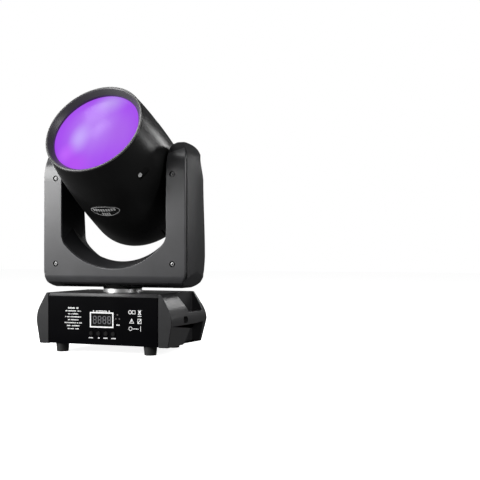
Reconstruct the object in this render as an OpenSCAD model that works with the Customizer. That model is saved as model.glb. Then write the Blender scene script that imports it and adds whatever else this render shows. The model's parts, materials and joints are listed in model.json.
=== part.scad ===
// Moving head light: a base on the ground, a yoke that pans on it and a head that tilts in the yoke.
// Origin on the ground under the pan axis, front towards -Y, +Z up, millimetres.

/* [Base] */
// Width across the bulge of the side caps
base_w = 250; // [248:1:254]
// Depth from the front panel to the rear panel
base_d = 141; // [139:1:145]
// Height of the top of the base
base_top = 98; // [96:0.5:100]
// Height of the rubber feet
foot_h = 14.5; // [13:0.5:16]
// Width of the front and rear panels
panel_w = 202; // [200:1:203]
// Height of the widest line of the side caps
bulge_z = 53; // [50:1:56]
// Thickness of the panels and the moulded walls
wall = 3; // [2.5:0.5:3.5]

/* [Handles] */
// Front end of the hand recess in each side cap, level with the handle bar
recess_front = 1; // [-2:1:4]
// Rear end of the hand recess
recess_rear = 55; // [52:1:57]
// Lower edge of the handle bar
bar_low = 46.5; // [45:0.5:48]
// Upper edge of the handle bar
bar_high = 66.5; // [64:0.5:69]
// Space for the fingers behind the handle bar
finger_gap = 10.5; // [9:0.5:11]

/* [Control panel] */
// Height of the middle of the display
display_z = 55; // [53:0.5:57]
// Width of the frame round the display
display_w = 43.6; // [42:0.2:45]
// Height of the frame round the display
display_h = 25.2; // [24:0.2:27]
// Height of the row of buttons
button_z = 33; // [31:0.5:34]
// Distance from one button to the next
button_pitch = 13.5; // [12:0.5:15]
// Radius of a button
button_r = 3.4; // [3:0.1:4]
// Travel of a button
button_travel = 1; // [0.6:0.1:1]

/* [Yoke] */
// Gap between the base and the yoke
pan_gap = 8; // [7:0.5:9]
// Width of the front and rear covers
yoke_w = 268; // [264:1:269]
// Depth from the front cover to the rear cover
yoke_d = 73; // [72:0.5:74]
// Height that the outer curve of the arms would reach if it ran on inwards
arm_top = 346.5; // [344:0.5:348]
// Width of the window between the arms
window_w = 196.5; // [196:0.5:197.5]
// Height of the centre of the window's round lower edge
window_z = 262; // [260:1:264]
// Radius of the window's lower edge in the covers
window_r = 125; // [124:0.5:126]
// Radius of the window's lower edge at its crest, midway between the covers
crest_r = 112.5; // [111.5:0.5:113.5]
// Radius of the visible collar of the pan shaft
collar_r = 32.5; // [31:0.5:33]

/* [Head] */
// Height of the tilt axis
tilt_z = 306; // [304:1:308]
// Lean of the head from upright, towards the front
head_tilt = 60; // [0:5:90]
// Distance from the tilt axis to the front rim
head_front = 113; // [111:1:115]
// Distance from the tilt axis to the rear end
head_rear = 122; // [121:1:123]
// Largest radius of the head
head_r = 96; // [95:0.5:96]
// Radius of the front rim
rim_r = 84.5; // [83.5:0.5:85]
// Radius of the visible lens
lens_r = 74; // [72:0.5:75]
// Thickness of the head's shell
shell = 2.5; // [2:0.1:2.8]

/* [Hidden] */

$fn = 96;
big = 400;
gap = 0.1;
turn_fit = 0.05;

front_y = -base_d / 2;
side_x = panel_w / 2;
top_plate = base_top - 92.5;
lid_z = base_top - top_plate;
yoke_z = base_top + pan_gap;
arm_in = window_w / 2;
arm_wall = 3.15;
frame_x = arm_in + arm_wall;
cover_t = 4;
cover_y = yoke_d / 2 - cover_t;
screw_x = 109.6;
screw_zs = [145.4, 290.6];
foot_x = 81.6;
rear_foot_x = 68;
foot_y = 57.6;
insert_x = 55;
insert_y = 43;
shaft_r = 22;
pan_pulley_r = 40;
pan_pinion_r = 8;
pan_pinion_at = [60, 14];
pan_belt_z = 56;
belt_w = 8;
tilt_shaft_r = 12;
tilt_pulley_r = 24;
tilt_pinion_r = 7;
tilt_pinion_drop = 95;
tilt_belt_x = 108;
tilt_belt_w = 7;
barrel_back = -62;
barrel_front = head_front - 3;
ring_bore = 81.5;
wheel_offset = 28;
wheel_r = 36;
rod_x = 45;
rod_r = 3;
bulkhead_back = -58;
bulkhead_front = 50;
button_xs = [for (i = [-1.5:1:1.5]) 1 + i * button_pitch];
inlet_x = -60;
fuse_x = -26;
signal_xs = [22, 56];
socket_z = 52;

// Outer radius of the head at a distance s in front of the tilt axis
nose_fall = (head_r - rim_r) / pow(head_front + 40, 2);
tail_start = -45;
tail_end_r = 64;
function head_radius(s) =
    s > -40 ? head_r - nose_fall * pow(s + 40, 2)
    : s > tail_start ? head_r
    : head_r - (head_r - tail_end_r) * pow((tail_start - s) / (head_rear + tail_start), 6.5);
function steps(a, b, n) = [for (i = [0:n]) a + (b - a) * i / n];
// Points of the head's profile from s = a to s = b, moved inwards by inset
function head_profile(a, b, n, inset) = [for (s = steps(a, b, n)) [head_radius(s) - inset, s]];

// ---- Helpers ----
module along_y(y0, y1) {
    translate([0, y1, 0]) rotate([90, 0, 0]) linear_extrude(y1 - y0) children();
}
module along_x(x0, x1) {
    translate([x0, 0, 0]) rotate([90, 0, 90]) linear_extrude(x1 - x0) children();
}
module block(lo, hi) {
    translate(lo) cube(hi - lo);
}
module rod_y(x, y0, y1, z, r) {
    translate([x, y1, z]) rotate([90, 0, 0]) cylinder(h = y1 - y0, r = r);
}
module rod_x_axis(x0, x1, y, z, r) {
    translate([x0, y, z]) rotate([0, 90, 0]) cylinder(h = x1 - x0, r = r);
}
module both_sides() {
    children();
    mirror([1, 0, 0]) children();
}
module in_head() {
    translate([0, 0, tilt_z]) rotate([head_tilt, 0, 0]) children();
}
// Flat outline with round corners, from the points lo to hi
module round_box(lo, hi, r) {
    translate(lo + [r, 0]) square([hi[0] - lo[0] - 2 * r, hi[1] - lo[1]]);
    translate(lo + [0, r]) square([hi[0] - lo[0], hi[1] - lo[1] - 2 * r]);
    for (x = [lo[0] + r, hi[0] - r], y = [lo[1] + r, hi[1] - r])
        translate([x, y]) circle(r = r);
}
// Closed band round two pulleys whose centres are d apart
module belt_outline(r1, r2, d, t) {
    difference() {
        hull() {
            circle(r = r1 + t, $fn = 48);
            translate([d, 0]) circle(r = r2 + t, $fn = 32);
        }
        hull() {
            circle(r = r1, $fn = 48);
            translate([d, 0]) circle(r = r2, $fn = 32);
        }
    }
}

// ---- Base: shell ----
knee_r = 46;
upper_slope = 31;
lower_slope = 10;
cap_low = 13.5;

// Outline of a side cap seen from the front, moved inwards by inset: two slopes that meet in a round knee
module cap_outline(inset = 0) {
    r = knee_r - inset;
    x = base_w / 2 - knee_r;
    upper = [x + r * cos(upper_slope), bulge_z + r * sin(upper_slope)];
    lower = [x + r * cos(lower_slope), bulge_z - r * sin(lower_slope)];
    high = base_top - inset;
    low = cap_low + inset;
    polygon([[side_x, low], [lower[0] - (lower[1] - low) * tan(lower_slope), low], lower, upper,
        [upper[0] - (high - upper[1]) * tan(upper_slope), high], [side_x, high]]);
    intersection() {
        translate([x, bulge_z]) circle(r = r, $fn = 180);
        translate([side_x, low]) square([big, high - low]);
    }
}
top_set_back = 15;
low_set_back = 18;
// Front cheek of a side cap seen from the side, first axis Y, second axis Z
module cheek_front(inset = 0) {
    edge = recess_front - inset;
    polygon([[front_y + inset, 0], [edge - low_set_back + 6, cap_low], [edge + 8, bar_low - 3],
        [edge, bar_high], [edge - top_set_back, base_top], [front_y + inset, base_top]]);
}
rear_set_back = 10;
// Rear cheek of a side cap seen from the side
module cheek_rear() {
    polygon([[recess_rear, 0], [-front_y - rear_set_back, cap_low], [-front_y, bulge_z],
        [-front_y - rear_set_back, base_top], [recess_rear, base_top]]);
}
handle_screw_y = -16.5;
handle_screw_z = 55;
slot_half = 3;
// Upright slot with round ends that runs along X
module slot_x(x0, x1, r) {
    for (j = [-1, 1])
        rod_x_axis(x0, x1, handle_screw_y + j * slot_half, handle_screw_z, r);
    block([x0, handle_screw_y - slot_half, handle_screw_z - r],
        [x1, handle_screw_y + slot_half, handle_screw_z + r]);
}
bar_x = side_x + 2 + finger_gap;
module cap() {
    difference() {
        intersection() {
            along_y(front_y, -front_y) cap_outline();
            union() {
                along_x(side_x, big) cheek_front();
                along_x(side_x, big) cheek_rear();
                block([side_x, recess_front - 25, 0], [side_x + 2, recess_rear + 1, big]);
                block([bar_x, recess_front - 1, bar_low], [big, recess_rear + 1, bar_high]);
                along_x(bar_x, big) polygon([[recess_front + 7, bar_low - 3], [recess_front + 34, bar_low],
                    [recess_front + 7, bar_low]]);
            }
        }
        intersection() {
            along_y(front_y + wall, -front_y) cap_outline(wall);
            along_x(side_x - 1, big) cheek_front(wall);
        }
        slot_x(side_x - 1, base_w, 5.6);
    }
    difference() {
        slot_x(side_x, base_w / 2 - 2, 8);
        slot_x(side_x + 9, base_w, 5.6);
        rod_x_axis(side_x - 1, base_w, handle_screw_y, handle_screw_z, 2.3);
    }
}
module cap_right() { color([0.13, 0.13, 0.14]) cap(); }
module cap_left() { color([0.13, 0.13, 0.14]) mirror([1, 0, 0]) cap(); }

module cap_screws() {
    color([0.35, 0.35, 0.37]) both_sides() difference() {
        union() {
            rod_x_axis(side_x + 9, side_x + 13.5, handle_screw_y, handle_screw_z, 5);
            rod_x_axis(side_x - 5, side_x + 9, handle_screw_y, handle_screw_z, 2.1);
        }
        translate([side_x + 11, handle_screw_y, handle_screw_z]) rotate([0, 90, 0])
            cylinder(h = 5, r = 2.6, $fn = 6);
    }
}

module base_chassis() {
    color([0.09, 0.09, 0.1]) difference() {
        union() {
            block([-side_x + gap, front_y + wall + gap, foot_h],
                [side_x - gap, -front_y - wall - gap, foot_h + 2.5]);
            both_sides() block([side_x - 2.1, front_y + wall + gap, foot_h],
                [side_x - gap, -front_y - wall - gap, lid_z - gap]);
            block([-side_x + gap, -39, lid_z - 3.1], [side_x - gap, 39, lid_z - gap]);
            for (x = [-insert_x, insert_x], y = [-insert_y, insert_y])
                translate([x, y, foot_h]) cylinder(h = 12, r = 7);
        }
        for (x = [-insert_x, insert_x], y = [-insert_y, insert_y])
            translate([x, y, 0]) cylinder(h = 60, r = 3.4);
        translate([0, 0, lid_z - 10]) cylinder(h = 20, r = 30);
        for (p = foot_at)
            translate([p[0], p[1], 0]) cylinder(h = 40, r = 2.1);
        both_sides() rod_x_axis(side_x - 6, side_x + 2, handle_screw_y, handle_screw_z, 2.3);
        for (i = [-4:4])
            block([i * 9 - 2, 44, 0], [i * 9 + 2, 60, foot_h + 5]);
    }
}

module top_cover() {
    color([0.12, 0.12, 0.13]) difference() {
        along_x(-side_x + gap, side_x - gap)
            polygon([[front_y, lid_z], [front_y, lid_z + 0.8], [front_y + 4.5, base_top],
                [-front_y - 4.5, base_top], [-front_y, lid_z + 0.8], [-front_y, lid_z]]);
        cylinder(h = big, r = collar_r + 1);
    }
}

module front_panel() {
    color([0.04, 0.04, 0.05]) difference() {
        block([-side_x + gap, front_y, foot_h], [side_x - gap, front_y + wall, lid_z - gap]);
        block([-display_w / 2 + 2, front_y - 1, display_z - display_h / 2 + 2],
            [display_w / 2 - 2, 0, display_z + display_h / 2 - 2]);
        for (x = button_xs)
            rod_y(x, front_y - 1, 0, button_z, button_r + 0.3);
        for (p = status_at)
            rod_y(p[0], front_y - 1, 0, p[1], 1.15);
        rod_y(status_at[0][0], front_y - 1, 0, display_z - 8, 0.9);
    }
}
status_at = [[29, display_z + 9], [26, display_z + 2.5], [32.5, display_z + 2.5]];

module display_frame() {
    color([0.9, 0.9, 0.92]) along_y(front_y - 0.5, front_y - 0.01) difference() {
        translate([-display_w / 2, display_z - display_h / 2]) square([display_w, display_h]);
        translate([-display_w / 2 + 2.1, display_z - display_h / 2 + 2.1])
            square([display_w - 4.2, display_h - 4.2]);
    }
}
display_y = front_y + 0.9;
module display_module() {
    color([0.03, 0.03, 0.04]) {
        block([-display_w / 2 + 2.2, display_y, display_z - display_h / 2 + 2.2],
            [display_w / 2 - 2.2, display_y + 6, display_z + display_h / 2 - 2.2]);
        for (x = [-15, 15], z = [-7, 7])
            rod_y(x, display_y + 5.5, board_y, display_z + z, 0.6);
    }
}
digit_h = 12.6;
digit_w = 6.4;
digit_pitch = 8.9;
seg_t = 1.3;
// One segment of a digit, lying along its own first axis
module segment(len) {
    polygon([[-len / 2, 0], [-len / 2 + seg_t / 2, seg_t / 2], [len / 2 - seg_t / 2, seg_t / 2], [len / 2, 0],
        [len / 2 - seg_t / 2, -seg_t / 2], [-len / 2 + seg_t / 2, -seg_t / 2]]);
}
module digit() {
    for (j = [-1:1])
        translate([0, j * (digit_h - seg_t) / 2]) segment(digit_w - seg_t - 0.3);
    for (i = [-1, 1], j = [-1, 1])
        translate([i * (digit_w - seg_t) / 2, j * (digit_h - seg_t) / 4]) rotate(90)
            segment((digit_h - seg_t) / 2 - 0.3);
}
module display_digits() {
    color([0.45, 0.47, 0.5]) along_y(display_y - 0.2, display_y - 0.01)
        for (i = [-1.5:1:1.5])
            translate([i * digit_pitch, display_z]) digit();
}
board_y = front_y + 9;
module control_board() {
    color([0.1, 0.3, 0.16]) {
        block([-60, board_y, foot_h + 8], [60, board_y + 1.6, lid_z - 10]);
        for (x = button_xs)
            block([x - 3, board_y - 1.4, button_z - 3], [x + 3, board_y, button_z + 3]);
        block([-40, board_y + 1.6, 40], [-24, board_y + 4, 56]);
        for (i = [0:4])
            translate([10 + i * 9, board_y + 1.6, 70]) rotate([-90, 0, 0]) cylinder(h = 9, r = 3.2);
        rod_y(status_at[0][0], front_y + wall + 0.2, board_y, display_z - 8, 3);
    }
}
module status_lights() {
    color([0.75, 0.2, 0.2]) for (p = status_at) {
        rod_y(p[0], front_y - 0.3, front_y + wall + 0.3, p[1], 1.05);
        rod_y(p[0], front_y + wall + 0.3, board_y, p[1], 1.5);
    }
}

module push_button(i) {
    x = button_xs[i];
    color([0.16, 0.16, 0.17]) {
        rod_y(x, front_y - 1.7, front_y + wall, button_z, button_r);
        rod_y(x, front_y + wall + 0.1, front_y + wall + 1.1, button_z, button_r + 1.4);
        rod_y(x, front_y + wall, front_y + wall + 0.1, button_z, button_r);
        rod_y(x, front_y + wall + 1.1, board_y - 1.4 - button_travel - 0.2, button_z, 1.6);
    }
}
module button_menu() { push_button(0); }
module button_up() { push_button(1); }
module button_down() { push_button(2); }
module button_enter() { push_button(3); }

module rear_panel() {
    color([0.04, 0.04, 0.05]) difference() {
        block([-side_x + gap, -front_y - wall, foot_h], [side_x - gap, -front_y, lid_z - gap]);
        block([inlet_x - 14, 0, socket_z - 10], [inlet_x + 14, big, socket_z + 10]);
        rod_y(fuse_x, 0, big, socket_z, 6.4);
        for (x = signal_xs)
            rod_y(x, 0, big, socket_z, 12.1);
        for (i = [-7:7])
            block([i * 11 - 3.5, 0, 78], [i * 11 + 3.5, big, 81]);
    }
}
module power_inlet() {
    y = -front_y;
    color([0.05, 0.05, 0.05]) difference() {
        union() {
            block([inlet_x - 13.8, y - 22, socket_z - 9.8], [inlet_x + 13.8, y, socket_z + 9.8]);
            along_y(y, y + 2) round_box([inlet_x - 17, socket_z - 13], [inlet_x + 17, socket_z + 13], 3);
        }
        block([inlet_x - 11.5, y - 15, socket_z - 7.5], [inlet_x + 11.5, y + 5, socket_z + 7.5]);
    }
    color([0.8, 0.8, 0.8]) for (i = [-1:1])
        block([inlet_x + i * 7 - 1, y - 15.5, socket_z - 2 + 3 * abs(i) - 2],
            [inlet_x + i * 7 + 1, y - 4, socket_z + 2 + 3 * abs(i) - 2]);
}
module fuse_holder() {
    y = -front_y;
    color([0.05, 0.05, 0.05]) difference() {
        union() {
            rod_y(fuse_x, y - 25, y, socket_z, 6.2);
            rod_y(fuse_x, y, y + 3, socket_z, 8);
        }
        block([fuse_x - 5, y + 1.8, socket_z - 0.7], [fuse_x + 5, y + 5, socket_z + 0.7]);
    }
}
// Three-pin round signal socket; pins stand up when plug is true, holes go in when it is false
module signal_socket(x, plug) {
    y = -front_y;
    color([0.3, 0.3, 0.32]) difference() {
        union() {
            rod_y(x, y - 20, y, socket_z, 11.9);
            along_y(y, y + 1.6) round_box([x - 13, socket_z - 15.5], [x + 13, socket_z + 15.5], 2);
        }
        if (plug)
            rod_y(x, y - 14, y + 5, socket_z, 9.4);
        else
            difference() {
                rod_y(x, y - 14, y + 5, socket_z, 9.4);
                rod_y(x, y - 15, y - 1, socket_z, 8.2);
            }
        for (a = [0, 120, 240])
            if (!plug)
                rod_y(x + 4.6 * sin(a), y - 12, y + 5, socket_z - 4.6 * cos(a), 1.4);
        for (k = [-1, 1])
            rod_y(x + k * 10, y - 1, y + 5, socket_z + k * 12.5, 1.6);
    }
    if (plug)
        color([0.8, 0.7, 0.4]) for (a = [0, 120, 240])
            rod_y(x + 4.6 * sin(a), y - 14.5, y - 5, socket_z + 4.6 * cos(a), 1.2);
}
module signal_in() { signal_socket(signal_xs[0], true); }
module signal_out() { signal_socket(signal_xs[1], false); }

module power_supply() {
    color([0.7, 0.71, 0.72]) difference() {
        block([-side_x + 6, -38, foot_h + 13], [-47, 34, foot_h + 37]);
        for (i = [0:5])
            block([-90, -27 + i * 9, foot_h + 36], [-56, -24 + i * 9, foot_h + 40]);
    }
    color([0.7, 0.71, 0.72]) for (x = [-88, -74])
        block([x - 3, -44, foot_h + 2.5], [x + 3, 40, foot_h + 13]);
}
eye_x = 0;
eye_z = 30;
module safety_eye() {
    y = -front_y;
    color([0.6, 0.6, 0.62]) {
        difference() {
            translate([eye_x, y + 3, eye_z]) rotate([0, 90, 0])
                rotate_extrude() translate([9, 0]) circle(r = 2.5);
            block([eye_x - 20, 0, 0], [eye_x + 20, y, 60]);
        }
        along_y(y, y + 1.5) round_box([eye_x - 8, eye_z - 14.5], [eye_x + 8, eye_z + 14.5], 3);
    }
}
foot_at = [[-foot_x, -foot_y], [foot_x, -foot_y], [-rear_foot_x, foot_y], [rear_foot_x, foot_y]];
module foot(at) {
    translate([at[0], at[1], 0]) {
        color([0.06, 0.06, 0.06]) difference() {
            rotate_extrude() polygon([[0, 0], [9, 0], [9.6, 0.8], [11, foot_h], [0, foot_h]]);
            translate([0, 0, -1]) cylinder(h = 6, r = 4.5);
            translate([0, 0, -1]) cylinder(h = foot_h + 2, r = 2.1);
        }
        color([0.5, 0.5, 0.5]) {
            translate([0, 0, 3.2]) cylinder(h = 1.8, r = 3.8);
            translate([0, 0, 4.5]) cylinder(h = foot_h, r = 2);
        }
    }
}
module foot_front_left() { foot(foot_at[0]); }
module foot_front_right() { foot(foot_at[1]); }
module foot_rear_left() { foot(foot_at[2]); }
module foot_rear_right() { foot(foot_at[3]); }

// ---- Base: pan drive ----
module pan_bearing() {
    color([0.6, 0.61, 0.63]) difference() {
        translate([0, 0, lid_z - 15]) cylinder(h = 11.9, r = 36);
        cylinder(h = big, r = shaft_r + turn_fit);
    }
}
module pan_motor() {
    translate([pan_pinion_at[0], pan_pinion_at[1], 0]) color([0.1, 0.1, 0.11]) difference() {
        translate([-21, -21, foot_h + 2.5]) cube([42, 42, 36]);
        for (i = [-1, 1], j = [-1, 1])
            translate([i * 21, j * 21, 0]) rotate(45) cube([5, 5, 200], center = true);
    }
}
module pan_pinion() {
    translate([pan_pinion_at[0], pan_pinion_at[1], 0]) color([0.75, 0.76, 0.78]) {
        translate([0, 0, foot_h + 38.9]) cylinder(h = 15, r = 2.5);
        translate([0, 0, pan_belt_z]) cylinder(h = belt_w, r = pan_pinion_r);
        translate([0, 0, pan_belt_z - 1]) cylinder(h = 1, r = pan_pinion_r + 2);
        translate([0, 0, pan_belt_z + belt_w]) cylinder(h = 1, r = pan_pinion_r + 2);
    }
}
module pan_belt() {
    d = norm(pan_pinion_at);
    color([0.05, 0.05, 0.05]) rotate(atan2(pan_pinion_at[1], pan_pinion_at[0]))
        translate([0, 0, pan_belt_z + 0.5]) linear_extrude(belt_w - 1)
            belt_outline(pan_pulley_r + 0.5, pan_pinion_r + 0.5, d, 1.5);
}

// ---- Yoke ----
side_top_r = 36;
side_low_r = 20;
// Outline of the yoke seen from the side, first axis Y, second axis Z, moved inwards by inset
module yoke_side(inset = 0) {
    y = yoke_d / 2 - inset;
    translate([-y, yoke_z + side_low_r]) square([2 * y, arm_top - yoke_z - side_top_r - side_low_r]);
    translate([-yoke_d / 2 + side_low_r, yoke_z + inset]) square([yoke_d - 2 * side_low_r, side_low_r + 1]);
    translate([-yoke_d / 2 + side_top_r, arm_top - side_top_r - 1])
        square([yoke_d - 2 * side_top_r, side_top_r + 1 - inset]);
    for (i = [-1, 1]) {
        translate([i * (yoke_d / 2 - side_top_r), arm_top - side_top_r])
            circle(r = side_top_r - inset, $fn = 144);
        translate([i * (yoke_d / 2 - side_low_r), yoke_z + side_low_r])
            circle(r = side_low_r - inset, $fn = 144);
    }
}
outer_top_r = 30;
inner_top_r = 11;
outer_low_r = 28;
// Right half of the yoke's outline seen from the front, moved inwards by inset
module arm_front(inset = 0) {
    x1 = yoke_w / 2 - inset;
    z1 = arm_top - inset;
    translate([0, yoke_z + outer_low_r]) square([x1, arm_top - yoke_z - outer_low_r - outer_top_r]);
    translate([0, yoke_z + inset]) square([yoke_w / 2 - outer_low_r, outer_low_r + 1]);
    translate([yoke_w / 2 - outer_low_r, yoke_z + outer_low_r]) circle(r = outer_low_r - inset, $fn = 144);
    translate([0, arm_top - outer_top_r - 1])
        square([yoke_w / 2 - outer_top_r, z1 - arm_top + outer_top_r + 1]);
    translate([yoke_w / 2 - outer_top_r, arm_top - outer_top_r])
        circle(r = outer_top_r - inset, $fn = 180);
}
corner_r = 28;
// What is left solid where an arm meets the window's round lower edge, seen from the front
module window_corner() {
    x = arm_in - corner_r;
    reach = window_r - corner_r;
    z = window_z - sqrt(reach * reach - x * x);
    foot = [0, window_z] + [x, z - window_z] * window_r / reach;
    difference() {
        polygon([[x, z], [arm_in + 1, z], [arm_in + 1, foot[1]], foot]);
        translate([x, z]) circle(r = corner_r, $fn = 144);
    }
}
// Waisted round body whose lower side is the window's lower edge, larger by grow
module saddle(grow) {
    for (m = [0, 1]) mirror([0, m, 0]) translate([0, 0, window_z]) rotate([90, 0, 0]) {
        cylinder(h = yoke_d / 2, r1 = crest_r + grow, r2 = window_r + grow, $fn = 240);
        translate([0, 0, yoke_d / 2]) cylinder(h = 5, r = window_r + grow, $fn = 240);
    }
}
// Space between the arms, with the waisted round lower edge
module window_cut() {
    difference() {
        intersection() {
            block([-arm_in, -big / 2, 0], [arm_in, big / 2, big]);
            union() {
                block([-big, -big / 2, window_z], [big, big / 2, big * 2]);
                saddle(0);
            }
        }
        both_sides() along_y(-big / 2, big / 2) window_corner();
    }
    // round the inner top corner of each arm
    both_sides() difference() {
        block([arm_in - 1, -big / 2, arm_top - inner_top_r], [arm_in + inner_top_r, big / 2, arm_top + 1]);
        along_y(-big / 2, big / 2) translate([arm_in + inner_top_r, arm_top - inner_top_r])
            circle(r = inner_top_r, $fn = 96);
    }
}
module yoke_cover() {
    difference() {
        intersection() {
            along_x(-yoke_w, yoke_w) yoke_side();
            along_y(cover_y + gap, yoke_d / 2) {
                arm_front();
                mirror([1, 0]) arm_front();
            }
        }
        window_cut();
        both_sides() for (z = screw_zs) {
            rod_y(screw_x, 0, big / 2, z, 1.7);
            rod_y(screw_x, yoke_d / 2 - 2.4, big / 2, z, 4.7);
        }
    }
}
module yoke_rear_cover() { color([0.13, 0.13, 0.14]) yoke_cover(); }
module yoke_front_cover() { color([0.13, 0.13, 0.14]) mirror([0, 1, 0]) yoke_cover(); }

module yoke_screws() {
    color([0.4, 0.4, 0.42]) for (m = [0, 1]) mirror([0, m, 0])
        both_sides() for (z = screw_zs) difference() {
            union() {
                rod_y(screw_x, yoke_d / 2 - 2.4, yoke_d / 2 - 0.5, z, 3);
                rod_y(screw_x, cover_y - 3.9, yoke_d / 2 - 2.4, z, 1.5);
            }
            for (a = [0, 90])
                translate([screw_x, yoke_d / 2, z]) rotate([0, a, 0]) cube([3.4, 2.4, 0.7], center = true);
        }
}

bulge = 2.5;
bulge_r = (bulge * bulge + yoke_d * yoke_d / 4) / (2 * bulge);
module arm_shell() {
    difference() {
        intersection() {
            along_x(frame_x + gap, yoke_w) yoke_side();
            along_y(-cover_y, cover_y) arm_front(-bulge);
            translate([yoke_w / 2 + bulge - bulge_r, 0, 0]) cylinder(h = big, r = bulge_r, $fn = 720);
        }
        intersection() {
            along_x(frame_x - 1, yoke_w / 2 - wall) yoke_side(wall);
            along_y(-big / 2, big / 2) arm_front(wall);
        }
        window_cut();
    }
}
module arm_shell_right() { color([0.1, 0.1, 0.11]) arm_shell(); }
module arm_shell_left() { color([0.1, 0.1, 0.11]) mirror([1, 0, 0]) arm_shell(); }

motor_x0 = 116.5;
motor_off = 17.5;
module yoke_frame() {
    color([0.08, 0.08, 0.09]) {
        difference() {
            intersection() {
                along_x(-frame_x, frame_x) yoke_side(0.1);
                along_y(-cover_y, cover_y) {
                    arm_front();
                    mirror([1, 0]) arm_front();
                }
            }
            window_cut();
            // hollow of the bottom member, under the crest
            difference() {
                block([-arm_in, -cover_y + wall, yoke_z + wall], [arm_in, cover_y - wall, window_z]);
                saddle(wall + 1);
            }
            translate([0, 0, yoke_z - 1]) cylinder(h = 10, r = 28);
            both_sides() rod_x_axis(arm_in - 1, frame_x + 1, 0, tilt_z, 18);
            both_sides() rod_x_axis(arm_in - 1, frame_x + 1, 0, 125, 8);
        }
        // pads that take the cover screws
        for (m = [0, 1]) mirror([0, m, 0]) both_sides() for (z = screw_zs) difference() {
            block([frame_x - 0.5, cover_y - 4, z - 6], [screw_x + 5, cover_y, z + 6]);
            rod_y(screw_x, 0, big / 2, z, 1.5);
        }
        // posts that carry the tilt motor
        for (j = [-1, 1], k = [-1, 1])
            rod_x_axis(frame_x - 0.5, motor_x0, j * motor_off, tilt_z - tilt_pinion_drop + k * motor_off, 2.6);
        // posts that carry the board in the other arm
        for (j = [-1, 1], k = [-1, 1])
            rod_x_axis(-110, -frame_x + 0.5, j * 18, 225 + k * 36, 2.6);
    }
}
module yoke_board() {
    color([0.1, 0.3, 0.16]) {
        block([-111.6, -23, 183], [-110, 23, 267]);
        block([-119, -12, 200], [-111.6, 12, 214]);
        block([-116, -15, 232], [-111.6, 9, 244]);
    }
}

flange_half = cover_y - wall - gap;
module pan_shaft() {
    color([0.75, 0.75, 0.77]) difference() {
        union() {
            translate([0, 0, pan_belt_z - 4]) cylinder(h = base_top - pan_belt_z + 2, r = shaft_r);
            translate([0, 0, base_top - 3.5]) cylinder(h = pan_gap + 3.5, r = collar_r);
            translate([0, 0, yoke_z - 0.1]) cylinder(h = wall + 0.1, r = 27.9);
            intersection() {
                translate([0, 0, yoke_z + wall]) cylinder(h = 4, r = 36);
                block([-big, -flange_half, 0], [big, flange_half, big]);
            }
        }
        cylinder(h = big, r = 13);
        for (a = [45:90:315])
            rotate(a) translate([32, 0, yoke_z - 5]) cylinder(h = 20, r = 2.1);
    }
}
module pan_pulley() {
    color([0.15, 0.15, 0.16]) difference() {
        union() {
            translate([0, 0, pan_belt_z]) cylinder(h = belt_w, r = pan_pulley_r, $fn = 180);
            translate([0, 0, pan_belt_z - 1]) cylinder(h = 1, r = pan_pulley_r + 2, $fn = 180);
            translate([0, 0, pan_belt_z + belt_w]) cylinder(h = 1, r = pan_pulley_r + 2, $fn = 180);
        }
        cylinder(h = big, r = shaft_r);
        for (a = [0:60:300])
            rotate(a) translate([31, 0, 0]) cylinder(h = big, r = 5);
    }
}

module tilt_bearings() {
    color([0.6, 0.61, 0.63]) both_sides() difference() {
        union() {
            rod_x_axis(arm_in, frame_x + 4, 0, tilt_z, 18);
            rod_x_axis(frame_x, frame_x + 4, 0, tilt_z, 21);
        }
        rod_x_axis(0, big, 0, tilt_z, tilt_shaft_r + turn_fit);
    }
}
tilt_motor_z = tilt_z - tilt_pinion_drop;
module tilt_motor() {
    color([0.1, 0.1, 0.11]) difference() {
        block([motor_x0, -21, tilt_motor_z - 21], [yoke_w / 2 - wall - 1, 21, tilt_motor_z + 21]);
        for (j = [-1, 1], k = [-1, 1])
            translate([motor_x0, j * 21, tilt_motor_z + k * 21])
                rotate([45, 0, 0]) cube([60, 5, 5], center = true);
    }
}
module tilt_pinion() {
    color([0.75, 0.76, 0.78]) {
        rod_x_axis(tilt_belt_x - 2, motor_x0 - 0.4, 0, tilt_motor_z, 2.5);
        rod_x_axis(tilt_belt_x, tilt_belt_x + tilt_belt_w, 0, tilt_motor_z, tilt_pinion_r);
        rod_x_axis(tilt_belt_x - 1, tilt_belt_x, 0, tilt_motor_z, tilt_pinion_r + 1.5);
    }
}
module tilt_belt() {
    color([0.05, 0.05, 0.05]) translate([tilt_belt_x + 0.5, 0, tilt_z]) rotate([0, 90, 0])
        linear_extrude(tilt_belt_w - 1)
            belt_outline(tilt_pulley_r + 0.4, tilt_pinion_r + 0.4, tilt_pinion_drop, 1.5);
}

// ---- Head: shell ----
module head_barrel() {
    color([0.1, 0.1, 0.11]) in_head() difference() {
        rotate_extrude($fn = 180) polygon(concat(
            head_profile(barrel_back, barrel_front, 24, 0),
            [[ring_bore, barrel_front], [ring_bore, 92], [ring_bore - 1.5, 90]],
            head_profile(86, barrel_back, 20, shell)));
        both_sides() rod_x_axis(60, big, 0, 0, 14.4);
        both_sides() for (a = screw_angles) rotate(a) {
            rod_x_axis(60, big, 0, side_screw_s, 2.1);
            block([pocket_floor, -5, side_screw_s - 7], [big, 17, side_screw_s + 5]);
        }
    }
}
screw_angles = [-37, 37];
side_screw_s = 56;
pocket_floor = head_radius(side_screw_s) - 1.6;
module head_screws() {
    color([0.7, 0.7, 0.72]) in_head() both_sides() for (a = screw_angles) rotate(a) difference() {
        union() {
            rod_x_axis(pocket_floor - 6, pocket_floor, 0, side_screw_s, 2);
            rod_x_axis(pocket_floor, pocket_floor + 1.4, 0, side_screw_s, 3.6);
        }
        translate([pocket_floor + 0.8, 0, side_screw_s]) rotate([0, 90, 0]) cylinder(h = 3, r = 1.8, $fn = 6);
    }
}
vent_angles = [-35, -145, 35, 145];
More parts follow.
